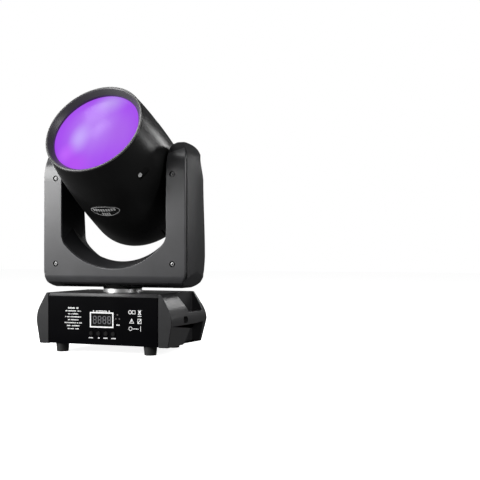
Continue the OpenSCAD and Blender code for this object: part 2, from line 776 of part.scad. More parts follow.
module head_rear_cover() {
    color([0.09, 0.09, 0.1]) in_head() difference() {
        rotate_extrude($fn = 180) polygon(concat(
            [[0, -head_rear]], head_profile(-head_rear, barrel_back - 0.4, 18, 0),
            head_profile(barrel_back - 0.4, -head_rear + shell, 16, shell), [[0, -head_rear + shell]]));
        for (ring = [[10, 6], [19, 12], [28, 18], [37, 24]])
            for (i = [1:ring[1]])
                rotate(i * 360 / ring[1]) translate([ring[0], 0, -head_rear - 1])
                    cylinder(h = 6, r = 2.1, $fn = 24);
        for (a = vent_angles, i = [-4:4])
            rotate(a + i * 4.2) translate([60, -1.3, -100]) cube([60, 2.6, 24]);
    }
}
module front_ring() {
    color([0.12, 0.12, 0.13]) in_head() rotate_extrude($fn = 180) difference() {
        union() {
            polygon([[lens_r + 0.5, head_front - 9], [rim_r - 3, head_front], [rim_r - 1.5, head_front],
                [rim_r - 1.5, barrel_front + gap], [ring_bore - gap, barrel_front + gap], [ring_bore - gap, 93],
                [lens_r + 3.4, 93], [lens_r + 3.4, head_front - 13], [lens_r + 0.5, head_front - 13]]);
            translate([rim_r - 1.5, barrel_front + gap + 1.45]) circle(r = 1.45, $fn = 48);
        }
    }
}
lens_apex = head_front - 4;
lens_curve = 300;
module front_lens() {
    color([0.6, 0.35, 0.9, 0.6]) in_head() intersection() {
        translate([0, 0, 93.2]) cylinder(h = 30, r = lens_r + 3.2, $fn = 180);
        translate([0, 0, lens_apex - lens_curve]) sphere(r = lens_curve, $fn = 360);
    }
}
badge_w = 27;
badge_h = 13;
badge_s = 15;
module badge() {
    color([0.2, 0.2, 0.22]) in_head() intersection() {
        rotate_extrude($fn = 180) polygon(concat(
            head_profile(badge_s - badge_h - 2, badge_s + badge_h + 2, 8, -0.05),
            head_profile(badge_s + badge_h + 2, badge_s - badge_h - 2, 8, -0.6)));
        along_y(-big / 2, 0) translate([0, badge_s])
            polygon([for (a = [0:6:354]) [badge_w * cos(a), badge_h * sin(a)]]);
    }
}

// ---- Head: tilt shafts ----
module tilt_hubs() {
    color([0.3, 0.3, 0.32]) both_sides() translate([0, 0, tilt_z]) difference() {
        union() {
            rod_x_axis(86, 88, 0, 0, 18);
            rod_x_axis(88, arm_in - 0.4, 0, 0, 14);
            rod_x_axis(arm_in - 0.4, 119, 0, 0, tilt_shaft_r);
        }
        rod_x_axis(80, big, 0, 0, 7);
    }
}
module tilt_pulley() {
    color([0.15, 0.15, 0.16]) translate([0, 0, tilt_z]) difference() {
        union() {
            rod_x_axis(tilt_belt_x, tilt_belt_x + tilt_belt_w, 0, 0, tilt_pulley_r);
            rod_x_axis(tilt_belt_x + tilt_belt_w, tilt_belt_x + tilt_belt_w + 1, 0, 0, tilt_pulley_r + 1.5);
        }
        rod_x_axis(0, big, 0, 0, tilt_shaft_r + 0.02);
        for (a = [0:60:300])
            rotate([a, 0, 0]) rod_x_axis(0, big, 19, 0, 3);
    }
}

// ---- Head: light engine ----
prism_s = -12;
module optics_frame() {
    color([0.55, 0.56, 0.58]) in_head() {
        difference() {
            translate([0, 0, bulkhead_back]) cylinder(h = 3, r = 90, $fn = 144);
            cylinder(h = big, r = 22, center = true);
            for (a = [30:60:330])
                rotate(a) translate([66, 0, bulkhead_back - 1]) cylinder(h = 6, r = 12);
        }
        difference() {
            translate([0, 0, bulkhead_front]) cylinder(h = 2.5, r = 86, $fn = 144);
            cylinder(h = big, r = 40, center = true);
        }
        both_sides() difference() {
            block([83, -20, bulkhead_back + 2.5], [86, 20, bulkhead_front + 0.5]);
            rod_x_axis(60, big, 0, 0, 7);
        }
        both_sides() translate([rod_x, 0, bulkhead_back + 2.5])
            cylinder(h = bulkhead_front - bulkhead_back - 2, r = rod_r);
        difference() {
            union() {
                translate([0, 0, prism_s - 3]) cylinder(h = 6, r = 27);
                block([-rod_x, -4, prism_s - 3], [rod_x, 4, prism_s + 3]);
            }
            cylinder(h = big, r = 22 + turn_fit, center = true);
        }
        block([-35, 70, bulkhead_back + 2.5], [35, 71.6, bulkhead_front + 0.5]);
    }
}
module prism() {
    color([0.8, 0.85, 0.9, 0.6]) in_head() {
        difference() {
            translate([0, 0, prism_s - 3.4]) cylinder(h = 6.8, r = 22);
            cylinder(h = big, r = 17, center = true);
        }
        translate([0, 0, prism_s - 3]) intersection() {
            cylinder(h = 8, r = 17);
            for (a = [0, 120, 240])
                rotate(a) rotate([0, 14, 0]) translate([0, -20, -4]) cube([22, 40, 8]);
        }
    }
}
module wheel_motors() {
    color([0.3, 0.3, 0.32]) in_head() for (j = [-1, 1])
        translate([0, j * wheel_offset, bulkhead_back + 3.05]) cylinder(h = 12, r = 9);
}
// Wheel on a shaft, with a ring of windows that pass the optical axis
module effect_wheel(side, s, windows, hole_r) {
    translate([0, side * wheel_offset, 0]) difference() {
        union() {
            translate([0, 0, s]) cylinder(h = 1.5, r = wheel_r);
            translate([0, 0, bulkhead_back + 15.5]) cylinder(h = s - bulkhead_back - 15.5, r = 2);
            translate([0, 0, s - 3]) cylinder(h = 3, r = 6);
        }
        for (i = [0:windows - 1])
            rotate(i * 360 / windows) translate([0, wheel_offset, s - 1]) cylinder(h = 5, r = hole_r);
    }
}
module colour_wheel() {
    color([0.8, 0.3, 0.5]) in_head() effect_wheel(-1, -35, 8, 6.8);
}
module gobo_wheel() {
    color([0.75, 0.75, 0.78]) in_head() effect_wheel(1, -27, 10, 5);
}
carriage_s = 12;
module focus_carriage() {
    color([0.25, 0.25, 0.27]) in_head() difference() {
        union() {
            block([-rod_x - 7, -14, carriage_s - 2], [rod_x + 7, 14, carriage_s + 2]);
            translate([0, 0, carriage_s - 3]) cylinder(h = 6, r = 27);
            both_sides() translate([rod_x, 0, carriage_s - 6]) cylinder(h = 12, r = 7);
        }
        both_sides() translate([rod_x, 0, -big / 2]) cylinder(h = big, r = rod_r + turn_fit);
        cylinder(h = big, r = 22, center = true);
    }
    color([0.8, 0.85, 0.9, 0.6]) in_head() intersection() {
        translate([0, 0, carriage_s - 3]) cylinder(h = 6, r = 22);
        translate([0, 0, carriage_s - 57]) sphere(r = 60);
        translate([0, 0, carriage_s + 57]) sphere(r = 60);
    }
}
module heat_sink() {
    color([0.7, 0.71, 0.73]) in_head() {
        block([-38, -38, bulkhead_back - 8], [38, 38, bulkhead_back - gap]);
        for (i = [-5:5])
            block([i * 7 - 1, -38, bulkhead_back - 38], [i * 7 + 1, 38, bulkhead_back - 7.5]);
    }
}
module led_module() {
    color([0.9, 0.85, 0.6]) in_head() {
        translate([0, 0, bulkhead_back - gap]) cylinder(h = 3, r = 14);
        translate([0, 0, bulkhead_back + 2.8]) cylinder(h = 1.2, r = 8);
    }
}
fan_s = -106;
module fan_frame() {
    color([0.08, 0.08, 0.08]) in_head() difference() {
        block([-40, -40, fan_s - 7.5], [40, 40, fan_s + 7.5]);
        cylinder(h = big, r = 38.2, center = true);
    }
    color([0.08, 0.08, 0.08]) in_head() {
        translate([0, 0, fan_s + 5.5]) cylinder(h = 2, r = 15);
        for (a = [45:90:315])
            rotate(a) block([10, -2, fan_s + 5.5], [40, 2, fan_s + 7.5]);
    }
}
module fan_rotor() {
    color([0.1, 0.1, 0.1]) in_head() translate([0, 0, fan_s]) {
        difference() {
            translate([0, 0, -6.5]) cylinder(h = 11.5, r = 15);
            translate([0, 0, -7.5]) cylinder(h = 2, r = 11);
        }
        intersection() {
            translate([0, 0, -6]) cylinder(h = 10.5, r = 36.6);
            for (i = [0:6])
                rotate(i * 360 / 7) rotate([38, 0, 0]) translate([13, -0.8, -9]) cube([30, 1.6, 18]);
        }
    }
}

base_chassis();
top_cover();
front_panel();
rear_panel();
cap_left();
cap_right();
foot_front_left();
foot_front_right();
foot_rear_left();
foot_rear_right();
display_frame();
display_module();
display_digits();
control_board();
status_lights();
button_menu();
button_up();
button_down();
button_enter();
power_inlet();
fuse_holder();
signal_in();
signal_out();
power_supply();
safety_eye();
pan_bearing();
pan_motor();
pan_pinion();
pan_belt();
cap_screws();
yoke_frame();
yoke_front_cover();
yoke_rear_cover();
arm_shell_left();
arm_shell_right();
yoke_screws();
pan_shaft();
pan_pulley();
tilt_bearings();
tilt_motor();
tilt_pinion();
tilt_belt();
yoke_board();
head_barrel();
head_rear_cover();
head_screws();
front_ring();
front_lens();
tilt_hubs();
tilt_pulley();
badge();
optics_frame();
wheel_motors();
heat_sink();
led_module();
colour_wheel();
gobo_wheel();
prism();
focus_carriage();
fan_frame();
fan_rotor();
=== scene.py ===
"""Looks of the moving head light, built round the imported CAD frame.

Metres, +Z up along the pan axis, the control panel faces -Y. The head leans 60 degrees towards the front.
"""

import json
import math
import random

import bmesh
import bpy
from mathutils import Matrix, Vector
from mathutils.bvhtree import BVHTree
from mathutils.interpolate import poly_3d_calc

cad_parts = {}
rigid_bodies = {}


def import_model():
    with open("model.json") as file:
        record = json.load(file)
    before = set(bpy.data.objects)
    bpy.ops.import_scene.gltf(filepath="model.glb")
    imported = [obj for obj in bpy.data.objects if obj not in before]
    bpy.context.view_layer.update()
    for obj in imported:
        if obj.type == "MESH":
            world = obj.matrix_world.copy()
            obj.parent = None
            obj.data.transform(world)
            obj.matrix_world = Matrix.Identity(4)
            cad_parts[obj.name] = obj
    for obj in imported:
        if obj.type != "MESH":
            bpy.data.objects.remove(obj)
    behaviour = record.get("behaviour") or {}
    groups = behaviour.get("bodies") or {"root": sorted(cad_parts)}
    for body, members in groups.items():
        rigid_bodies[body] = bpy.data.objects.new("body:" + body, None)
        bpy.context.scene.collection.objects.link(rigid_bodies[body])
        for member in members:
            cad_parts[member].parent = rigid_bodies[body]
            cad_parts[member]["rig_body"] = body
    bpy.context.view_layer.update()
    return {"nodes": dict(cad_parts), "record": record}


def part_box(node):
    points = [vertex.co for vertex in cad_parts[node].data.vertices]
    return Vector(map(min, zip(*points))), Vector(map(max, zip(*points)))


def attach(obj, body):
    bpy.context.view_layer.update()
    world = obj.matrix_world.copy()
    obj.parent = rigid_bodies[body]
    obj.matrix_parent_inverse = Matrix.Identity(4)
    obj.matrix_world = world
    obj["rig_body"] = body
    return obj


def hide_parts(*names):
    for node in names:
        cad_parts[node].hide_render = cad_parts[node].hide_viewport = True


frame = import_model()
NODES = frame["nodes"]
SLOTS = {row["node"]: row["material_slot"] for row in frame["record"]["subparts"]}
MM = 0.001
SEED = 7

# Places taken from the frame
PANEL_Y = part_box("front_panel")[0].y
TILT_Z = sum(corner.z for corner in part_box("tilt_pulley")) / 2
HEAD_LEAN = math.radians(60)
HEAD_FRAME = Matrix.Translation((0, 0, TILT_Z)) @ Matrix.Rotation(HEAD_LEAN, 4, "X")
LENS_APEX = 109
LENS_FRAME = HEAD_FRAME @ Matrix.Translation((0, 0, LENS_APEX * MM))


# ---------------------------------------------------------------- camera, light and floor
# Camera: its place round the object in metres, the way it faces, and its lens in millimetres
CAM_AZIMUTH = math.radians(28.86)
CAM_DISTANCE = 1.4358
CAM_HEIGHT = 0.16265
CAM_YAW = math.radians(20.90)
CAM_LENS = 62.81
CAM_SHIFT_Y = 0.0281


def make_camera():
    data = bpy.data.cameras.new("camera")
    data.lens = CAM_LENS
    data.sensor_width = 36
    data.shift_y = CAM_SHIFT_Y
    data.clip_start = 0.05
    data.clip_end = 40
    cam = bpy.data.objects.new("camera", data)
    cam.location = (CAM_DISTANCE * math.sin(CAM_AZIMUTH), -CAM_DISTANCE * math.cos(CAM_AZIMUTH), CAM_HEIGHT)
    cam.rotation_euler = (math.pi / 2, 0, CAM_YAW)
    bpy.context.scene.collection.objects.link(cam)
    bpy.context.scene.camera = cam


LAMP_AIM = Vector((0, 0, 0.24))
# Lamps: name, azimuth and elevation in degrees, distance, width, height in metres, power in watts
LAMPS = [
    ("key", -44, 15, 1.6, 0.56, 0.6, 27),
    ("left_low", -38, -3, 1.4, 0.9, 0.24, 0.6),
    ("back_low", 134, 6, 1.6, 0.36, 0.2, 2.0),
    ("back_high", 155, 19, 1.6, 0.24, 0.2, 1.9),
    ("right_front", -21, 10, 1.6, 0.25, 0.2, 1.6),
    ("right_strip", 70, 17, 1.6, 0.07, 0.8, 7),
    ("top_left", -79, 60, 1.6, 0.42, 0.3, 3.8),
    ("top_front", -49, 57, 1.6, 0.2, 0.3, 4),
    ("rim_light", -97, 37, 1.6, 0.24, 0.24, 2.4),
    ("fill_right", 95, 25, 1.6, 0.7, 0.7, 3.5),
    ("fill_left", -120, 15, 1.6, 0.8, 0.8, 8),
]


def softbox(name, azimuth, elevation, distance, width, height, power):
    """Rectangular lamp that faces the object, at an azimuth counted from -Y towards +X."""
    a, e = math.radians(azimuth), math.radians(elevation)
    way = Vector((math.sin(a) * math.cos(e), -math.cos(a) * math.cos(e), math.sin(e)))
    data = bpy.data.lights.new(name, "AREA")
    data.shape = "RECTANGLE"
    data.size = width
    data.size_y = height
    data.energy = power
    lamp = bpy.data.objects.new(name, data)
    lamp.location = LAMP_AIM + way * distance
    lamp.rotation_euler = (-way).to_track_quat("-Z", "Y").to_euler()
    bpy.context.scene.collection.objects.link(lamp)


WORLD_LIGHT = 0.10
WORLD_SEEN = 1.0


def make_world(light, seen):
    """Even light all round, and a paler backdrop behind the object."""
    world = bpy.data.worlds.new("studio")
    world.use_nodes = True
    tree = world.node_tree
    background = tree.nodes["Background"]
    background.inputs["Color"].default_value = (1, 1, 1, 1)
    paths = tree.nodes.new("ShaderNodeLightPath")
    strength = tree.nodes.new("ShaderNodeMapRange")
    strength.inputs["To Min"].default_value = light
    strength.inputs["To Max"].default_value = seen
    tree.links.new(paths.outputs["Is Camera Ray"], strength.inputs["Value"])
    tree.links.new(strength.outputs["Result"], background.inputs["Strength"])
    bpy.context.scene.world = world


FLOOR_HALF = 6
FLOOR_GLOW = 0.88


def make_floor():
    """Pale paper under the object, kept out of its reflections."""
    corners = [(x * FLOOR_HALF, y * FLOOR_HALF, 0) for x, y in ((-1, -1), (1, -1), (1, 1), (-1, 1))]
    mesh = bpy.data.meshes.new("floor")
    mesh.from_pydata(corners, [], [(0, 1, 2, 3)])
    floor = bpy.data.objects.new("floor", mesh)
    bpy.context.scene.collection.objects.link(floor)
    mat, tree, shader = new_material("floor_paper")
    shader.inputs["Roughness"].default_value = 0.9
    shader.inputs["Specular IOR Level"].default_value = 0
    shader.inputs["Emission Color"].default_value = (1, 1, 1, 1)
    shader.inputs["Emission Strength"].default_value = FLOOR_GLOW
    tint(tree, shader, (0.93, 0.93, 0.94), (0.96, 0.96, 0.96), 3)
    mesh.materials.append(mat)
    floor.visible_glossy = False
    floor.visible_diffuse = False


# ---------------------------------------------------------------- materials
def new_material(name):
    mat = bpy.data.materials.new(name)
    mat.use_nodes = True
    tree = mat.node_tree
    return mat, tree, tree.nodes["Principled BSDF"]


# Span that a noise output fills in practice
NOISE_LOW = 0.3
NOISE_HIGH = 0.7


def noise_value(tree, scale, detail=3, stretch=(1, 1, 1)):
    """Noise output in the piece's own coordinates, scale in cycles per metre."""
    coords = tree.nodes.new("ShaderNodeTexCoord")
    mapping = tree.nodes.new("ShaderNodeMapping")
    mapping.inputs["Scale"].default_value = stretch
    noise = tree.nodes.new("ShaderNodeTexNoise")
    noise.inputs["Scale"].default_value = scale
    noise.inputs["Detail"].default_value = detail
    tree.links.new(coords.outputs["Object"], mapping.inputs["Vector"])
    tree.links.new(mapping.outputs["Vector"], noise.inputs["Vector"])
    return noise.outputs["Fac"]


def tint(tree, shader, dark, light, scale):
    """Colour that wanders between two close shades."""
    ramp = tree.nodes.new("ShaderNodeValToRGB")
    ramp.color_ramp.elements[0].position = NOISE_LOW
    ramp.color_ramp.elements[1].position = NOISE_HIGH
    ramp.color_ramp.elements[0].color = (*dark, 1)
    ramp.color_ramp.elements[1].color = (*light, 1)
    tree.links.new(noise_value(tree, scale), ramp.inputs["Fac"])
    tree.links.new(ramp.outputs["Color"], shader.inputs["Base Color"])


def roughen(tree, shader, low, high, scale):
    """Roughness that wanders between low and high."""
    spread = tree.nodes.new("ShaderNodeMapRange")
    spread.inputs["From Min"].default_value = NOISE_LOW
    spread.inputs["From Max"].default_value = NOISE_HIGH
    spread.inputs["To Min"].default_value = low
    spread.inputs["To Max"].default_value = high
    tree.links.new(noise_value(tree, scale, detail=4), spread.inputs["Value"])
    tree.links.new(spread.outputs["Result"], shader.inputs["Roughness"])


# Tops of the arms: finish, height where it starts to turn matte and rise over which it does, in millimetres
MATTE_TOPS = [("satin_black", 322, 9), ("side_black", 316, 12)]
MATTE_ROUGHNESS = 0.75


def matte_above(material, height, rise, roughness):
    """Change a finish so that it turns matte above a height, over a rise of a few millimetres."""
    tree = material.node_tree
    shader = tree.nodes["Principled BSDF"]
    glossy = shader.inputs["Roughness"].links[0].from_socket
    coords = tree.nodes.new("ShaderNodeTexCoord")
    parts = tree.nodes.new("ShaderNodeSeparateXYZ")
    share = tree.nodes.new("ShaderNodeMapRange")
    share.inputs["From Min"].default_value = height * MM
    share.inputs["From Max"].default_value = (height + rise) * MM
    blend = tree.nodes.new("ShaderNodeMix")
    blend.inputs["B"].default_value = roughness
    tree.links.new(coords.outputs["Object"], parts.inputs["Vector"])
    tree.links.new(parts.outputs["Z"], share.inputs["Value"])
    tree.links.new(share.outputs["Result"], blend.inputs["Factor"])
    tree.links.new(glossy, blend.inputs["A"])
    tree.links.new(blend.outputs["Result"], shader.inputs["Roughness"])


def grain(tree, shader, scale, depth):
    """Fine relief, depth in millimetres."""
    bump = tree.nodes.new("ShaderNodeBump")
    bump.inputs["Strength"].default_value = 1
    bump.inputs["Distance"].default_value = depth * MM
    tree.links.new(noise_value(tree, scale, detail=2), bump.inputs["Height"])
    tree.links.new(bump.outputs["Normal"], shader.inputs["Normal"])


TINT_SCALE = 35
GLOSS_SCALE = 22
COAT_ROUGHNESS = 0.12


def surface(name, dark, light, rough, metal=0.0, coat=0.0, relief=(900, 0.01), specular=0.5):
    """Everyday finish: two close shades, wandering gloss and a relief given as (scale, depth)."""
    mat, tree, shader = new_material(name)
    shader.inputs["Metallic"].default_value = metal
    shader.inputs["Coat Weight"].default_value = coat
    shader.inputs["Coat Roughness"].default_value = COAT_ROUGHNESS
    shader.inputs["Specular IOR Level"].default_value = specular
    tint(tree, shader, dark, light, TINT_SCALE)
    roughen(tree, shader, *rough, GLOSS_SCALE)
    grain(tree, shader, *relief)
    return mat


def grey(value, cool=0.0):
    """Neutral colour, a little cooler where cool is above nought."""
    return (value, value, value * (1 + cool))


def make_materials():
    """Every finish, by its name."""
    finishes = [
        surface("satin_black", grey(0.047, 0.06), grey(0.055, 0.06), (0.30, 0.36)),
        surface("side_black", grey(0.016, 0.08), grey(0.021, 0.08), (0.38, 0.44), specular=0.3),
        surface("head_black", grey(0.007), grey(0.009), (0.31, 0.34), specular=0.4),
        surface("cap_black", grey(0.023, 0.05), grey(0.028, 0.05), (0.29, 0.35), relief=(1600, 0.02)),
        surface("panel_black", grey(0.0012, 0.4), grey(0.0018, 0.4), (0.30, 0.36), specular=0.04),
        surface("chassis_black", grey(0.012), grey(0.016), (0.45, 0.6)),
        surface("foot_rubber", grey(0.018), grey(0.026), (0.6, 0.8), relief=(1500, 0.05)),
        printed("white_print", 0.80, 0.30),
        surface("display_dark", grey(0.004), grey(0.006), (0.08, 0.14), coat=0.6),
        surface("digit_grey", grey(0.15, 0.08), grey(0.18, 0.08), (0.3, 0.4)),
        surface("board_green", (0.01, 0.09, 0.03), (0.02, 0.13, 0.05), (0.4, 0.5)),
        surface("status_lens", (0.16, 0.15, 0.15), (0.22, 0.20, 0.20), (0.2, 0.3)),
        surface("button_dark", grey(0.004), grey(0.006), (0.35, 0.45), specular=0.2),
        surface("socket_black", grey(0.012), grey(0.018), (0.35, 0.5)),
        surface("socket_metal", grey(0.32), grey(0.42), (0.28, 0.4), metal=1),
        surface("steel", grey(0.45), grey(0.55), (0.25, 0.38), metal=1),
        surface("screw_steel", grey(0.42), grey(0.5), (0.3, 0.4), metal=0.2),
        surface("bare_aluminium", grey(0.68), grey(0.76), (0.40, 0.46), metal=1),
        # Black that reflects nothing, for painted shadow under the yoke
        surface("painted_shadow_black", grey(0.008), grey(0.012), (0.9, 0.98), specular=0),
        surface("motor_black", grey(0.01), grey(0.02), (0.4, 0.5)),
        surface("belt_rubber", grey(0.01), grey(0.015), (0.6, 0.7)),
        surface("pulley_dark", grey(0.05), grey(0.07), (0.35, 0.45), metal=1),
        surface("led_yellow", (0.7, 0.5, 0.1), (0.8, 0.6, 0.2), (0.3, 0.4)),
        surface("wheel_dichroic", (0.35, 0.1, 0.4), (0.2, 0.3, 0.6), (0.1, 0.2), metal=1),
        surface("optic_glass", (0.5, 0.6, 0.65), (0.6, 0.68, 0.72), (0.03, 0.06), coat=1),
        surface("badge_black", grey(0.012), grey(0.016), (0.2, 0.3)),
        surface("carriage_dark", grey(0.05), grey(0.07), (0.4, 0.5)),
        lens_material(),
        printed("badge_print", 0.50, 0.10),
        # Barrel screws in white: a painted glint
        surface("screw_painted_glint", grey(0.75), grey(0.85), (0.25, 0.35)),
        surface("ring_black", grey(0.052), grey(0.058), (0.34, 0.38)),
        # Bezel lip lighter than the barrel: a painted highlight line all round the rim
        surface("rim_painted_highlight", grey(0.075), grey(0.085), (0.30, 0.32)),
    ]
    # The frame's own materials hold some of these names, so Blender adds a number after a dot
    return {mat.name.partition(".")[0]: mat for mat in finishes}


def printed(name, white, painted_glow):
    """Screen-printed ink, with a painted glow that makes it read bright on black."""
    mat = surface(name, grey(white), grey(white * 1.06), (0.45, 0.55))
    shader = mat.node_tree.nodes["Principled BSDF"]
    shader.inputs["Emission Color"].default_value = (1, 1, 1, 1)
    shader.inputs["Emission Strength"].default_value = painted_glow
    return mat


def spot(tree, place, size):
    """Soft round patch, 1 at place and 0 at size away, in the piece's own coordinates (metres)."""
    coords = tree.nodes.new("ShaderNodeTexCoord")
    mapping = tree.nodes.new("ShaderNodeMapping")
    mapping.vector_type = "TEXTURE"
    mapping.inputs["Location"].default_value = place
    mapping.inputs["Scale"].default_value = size
    gradient = tree.nodes.new("ShaderNodeTexGradient")
    gradient.gradient_type = "SPHERICAL"
    soften = tree.nodes.new("ShaderNodeMapRange")
    soften.interpolation_type = "SMOOTHSTEP"
    tree.links.new(coords.outputs["Object"], mapping.inputs["Vector"])
    tree.links.new(mapping.outputs["Vector"], gradient.inputs["Vector"])
    tree.links.new(gradient.outputs["Fac"], soften.inputs["Value"])
    return soften.outputs["Result"]


def over(tree, below, colour, mask, amount):
    """Lays a colour over another by a mask."""
    scaled = tree.nodes.new("ShaderNodeMath")
    scaled.operation = "MULTIPLY"
    scaled.inputs[1].default_value = amount
    mix = tree.nodes.new("ShaderNodeMix")
    mix.data_type = "RGBA"
    mix.inputs["B"].default_value = (*colour, 1)
    tree.links.new(mask, scaled.inputs[0])
    tree.links.new(scaled.outputs["Value"], mix.inputs["Factor"])
    tree.links.new(below, mix.inputs["A"])
    return mix.outputs["Result"]


# Painted highlights on the lens glow: place and reach in millimetres from its middle, colour and amount
LENS_PAINTED_HIGHLIGHTS = [
    ((2, 8), (58, 62), (0.46, 0.22, 0.89), 0.75),
    ((10, 58), (40, 34), (0.52, 0.36, 0.88), 0.80),
    ((-23, -14), (26, 38), (0.58, 0.42, 0.99), 0.90),
    ((-42, -42), (26, 26), (0.56, 0.12, 1.00), 0.75),
    ((-20, -62), (40, 26), (0.48, 0.05, 0.90), 0.70),
    ((46, -6), (44, 50), (0.39, 0.11, 0.80), 0.60),
]


def lens_material():
    """Violet glass whose light is a painted glow: saturated towards the edge, pale in painted highlight
    patches.
    """
    mat, tree, shader = new_material("lens_glass")
    shader.inputs["Base Color"].default_value = (0.02, 0.005, 0.04, 1)
    shader.inputs["Specular IOR Level"].default_value = 0.04
    roughen(tree, shader, 0.16, 0.22, 60)
    base = tree.nodes.new("ShaderNodeValToRGB")
    base.color_ramp.elements[0].color = (0.36, 0.045, 0.86, 1)
    base.color_ramp.elements[1].color = (0.43, 0.14, 0.88, 1)
    tree.links.new(spot(tree, (0, 0, 0), (0.085, 0.085, 0.3)), base.inputs["Fac"])
    colour = base.outputs["Color"]
    for (x, y), (reach_x, reach_y), paint, amount in LENS_PAINTED_HIGHLIGHTS:
        mask = spot(tree, (x * MM, y * MM, 0), (reach_x * MM, reach_y * MM, 0.3))
        colour = over(tree, colour, paint, mask, amount)
    # Faint streaks of painted sheen over the glass
    colour = over(tree, colour, (0.62, 0.45, 1.0), noise_value(tree, 26, 2, (1.0, 0.25, 1)), 0.16)
    # The glass's colour is all painted glow, given out as emission
    tree.links.new(colour, shader.inputs["Emission Color"])
    shader.inputs["Emission Strength"].default_value = 0.95
    return mat


# ---------------------------------------------------------------- pieces
SHARP_ANGLE = math.radians(30)


def add_piece(name, mesh, body, material, stands_for=(), slot=None, place=None):
    """Mesh made an object that rides on a body and may stand for CAD nodes."""
    piece = bpy.data.objects.new(name, mesh)
    if place is not None:
        piece.matrix_world = place
    bpy.context.scene.collection.objects.link(piece)
    mesh.materials.clear()
    mesh.materials.append(material)
    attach(piece, body)
    if stands_for:
        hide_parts(*stands_for)
    return piece


def finished_mesh(work, name):
    """Mesh from a bmesh whose faces are turned outwards."""
    bmesh.ops.recalc_face_normals(work, faces=work.faces)
    mesh = bpy.data.meshes.new(name)
    work.to_mesh(mesh)
    work.free()
    return mesh


def plate(work, front, back):
    """Solid between two loops of vertices that match one for one."""
    work.faces.new(front)
    work.faces.new(back[::-1])
    for k in range(len(front)):
        n = (k + 1) % len(front)
        work.faces.new([front[k], back[k], back[n], front[n]])


def on_circle(radius, angle, height):
    """Point at a radius, an angle and a height, from millimetres."""
    return Vector((radius * MM * math.cos(angle), radius * MM * math.sin(angle), height * MM))


def revolved(name, profile, steps=192):
    """Closed ring of (radius, height) points in millimetres turned about Z."""
    work = bmesh.new()
    rings = []
    for radius, height in profile:
        turn = [2 * math.pi * k / steps for k in range(steps if radius else 1)]
        rings.append([work.verts.new(on_circle(radius, angle, height)) for angle in turn])
    for low, high in zip(rings, rings[1:] + rings[:1]):
        for k in range(steps):
            n = k + 1
            corners = [low[k % len(low)], low[n % len(low)], high[n % len(high)], high[k % len(high)]]
            corners = list(dict.fromkeys(corners))
            if len(corners) > 2:
                work.faces.new(corners)
    mesh = finished_mesh(work, name)
    for face in mesh.polygons:
        face.use_smooth = True
    mesh.set_sharp_from_angle(angle=SHARP_ANGLE)
    return mesh


# Reach of a look-up in millimetres, and the cosine above which two normals face the same way
NEAR = 0.05
SAME_SIDE = 0.6


class SmoothNormals:
    """The CAD surface's own normals, looked up from a place and the side that is wanted."""

    def __init__(self, source):
        mesh = source.data
        mesh.calc_loop_triangles()
        self.corners = [v.co.copy() for v in mesh.vertices]
        self.triangles = [tuple(t.vertices) for t in mesh.loop_triangles]
        normals = [n.vector.copy() for n in mesh.corner_normals]
        self.normals = [[normals[k] for k in t.loops] for t in mesh.loop_triangles]
        self.tree = BVHTree.FromPolygons(self.corners, self.triangles)

    def at(self, place, facing):
        near = self.tree.find_nearest_range(place, NEAR * MM)
        if not near:
            return facing
        spot_on, flat, index, _ = max(near, key=lambda hit: round(hit[1].dot(facing), 3) - hit[3])
        weights = poly_3d_calc([self.corners[k] for k in self.triangles[index]], spot_on)
        normal = sum((n * w for n, w in zip(self.normals[index], weights)), Vector())
        return normal.normalized() if normal.dot(facing) > SAME_SIDE else facing


def edge_normals(mesh, source, rounded):
    """Corner normals: the CAD surface's on old faces, blended from those on the rounded edges."""
    lookup = SmoothNormals(source)
    shared = [Vector() for _ in mesh.vertices]
    corner = [Vector((0, 0, 1)) for _ in mesh.loops]
    for face in mesh.polygons:
        face.use_smooth = True
        for k in face.loop_indices:
            vertex = mesh.loops[k].vertex_index
            if face.index in rounded:
                continue
            corner[k] = lookup.at(mesh.vertices[vertex].co, face.normal)
            shared[vertex] += corner[k]
    for face in mesh.polygons:
        if face.index in rounded:
            for k in face.loop_indices:
                whole = shared[mesh.loops[k].vertex_index]
                corner[k] = whole.normalized() if whole.length > 0.1 else face.normal.copy()
    mesh.normals_split_custom_set(corner)


def smooth(share):
    """Ease between nought and one."""
    t = min(max(share, 0), 1)
    return t * t * (3 - 2 * t)


# Nodes that bend to the curves of the arms
LEANING = {"yoke_frame", "yoke_front_cover", "yoke_rear_cover", "arm_shell_left", "arm_shell_right"}
ARM_INNER = 98.25
ARM_THICKNESS = 35.75
# The rear swells by a share of its depth between two heights, in millimetres
BULGE_SHARE = 0.2
BULGE_LOW = 114
BULGE_LOW_EASE = 46
BULGE_HIGH = 290
BULGE_HIGH_EASE = 130
# From the taper's start the front and the outer side draw in, and the rear draws in most halfway up
TAPER_START = 286
TAPER_RISE = 60
FRONT_BLEND = 60
FRONT_SHARE = 0.36
FRONT_NARROWING = 6.6
SHOULDER_SHARE = 0.2
SHOULDER_NARROWING = 2.2
SHOULDER_SKEW = 1.4


